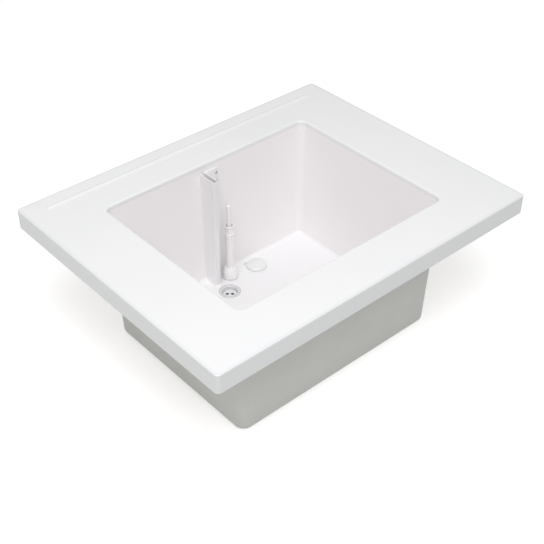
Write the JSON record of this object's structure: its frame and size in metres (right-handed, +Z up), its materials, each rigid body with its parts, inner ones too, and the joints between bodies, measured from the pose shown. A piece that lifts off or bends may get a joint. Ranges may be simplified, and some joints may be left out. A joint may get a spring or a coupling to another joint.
{
  "type": "sink workbench",
  "caption": "Moulded sink worktop with a deep rectangular basin, back-wall overflow duct, waste with lift-out strainer, loose cover and long-handled stopper.",
  "frame": {"origin": "middle of the worktop's footprint, at the underside of the basin's foot", "axes": "+X to the right along the front edge, +Y from the front edge to the back edge, +Z up"},
  "size_m": [0.76, 0.6, 0.3026],
  "materials": {
    "moulded_top": "satin gel coat",
    "moulded_basin": "satin gel coat",
    "rail_board": "sanded plywood",
    "seal_rubber": "matt",
    "zinc_steel": "zinc plated",
    "insert_brass": "machined",
    "waste_plastic": "satin",
    "duct_plastic": "satin",
    "stopper_rubber": "soft satin",
    "stopper_plastic": "gloss",
    "cover_plastic": "gloss"
  },
  "bodies": {
    "bench": {"worktop": "moulded_top", "basin": "moulded_basin", "basin_seal": "seal_rubber", "basin_clips": "zinc_steel", "clip_screws": "zinc_steel", "front_rail": "rail_board", "rear_rail": "rail_board", "left_rail": "rail_board", "right_rail": "rail_board", "frame_inserts": "insert_brass", "drain_dish": "waste_plastic", "dish_washer": "seal_rubber", "waste_sump": "waste_plastic", "sump_seal": "seal_rubber", "overflow_duct": "duct_plastic", "duct_tab": "duct_plastic", "tab_screws": "zinc_steel"},
    "strainer_body": {"strainer": "waste_plastic"},
    "stopper": {"stopper_foot": "stopper_rubber", "stopper_tube": "stopper_plastic", "rod_bush": "stopper_plastic"},
    "handle": {"handle_rod": "stopper_plastic"},
    "collar": {"twist_collar": "stopper_plastic"},
    "cover": {"drain_cover": "cover_plastic"}
  },
  "joints": [
    {"name": "strainer_lift", "type": "slide", "parent": "bench", "child": "strainer_body", "axis": [0, 0, 1], "range_m": [0, 0.06]},
    {"name": "stopper_lift", "type": "slide", "parent": "bench", "child": "stopper", "axis": [0, 0, 1], "range_m": [0, 0.2]},
    {"name": "handle_extend", "type": "slide", "parent": "stopper", "child": "handle", "axis": [0, 0, 1], "range_m": [0, 0.07]},
    {"name": "collar_twist", "type": "hinge", "parent": "stopper", "child": "collar", "pos_m": [0.017, 0.158, 0.14], "axis": [0, 0, 1], "range_deg": [0, 90]},
    {"name": "cover_lift", "type": "slide", "parent": "bench", "child": "cover", "axis": [0, 0, 1], "range_m": [0, 0.2]}
  ]
}
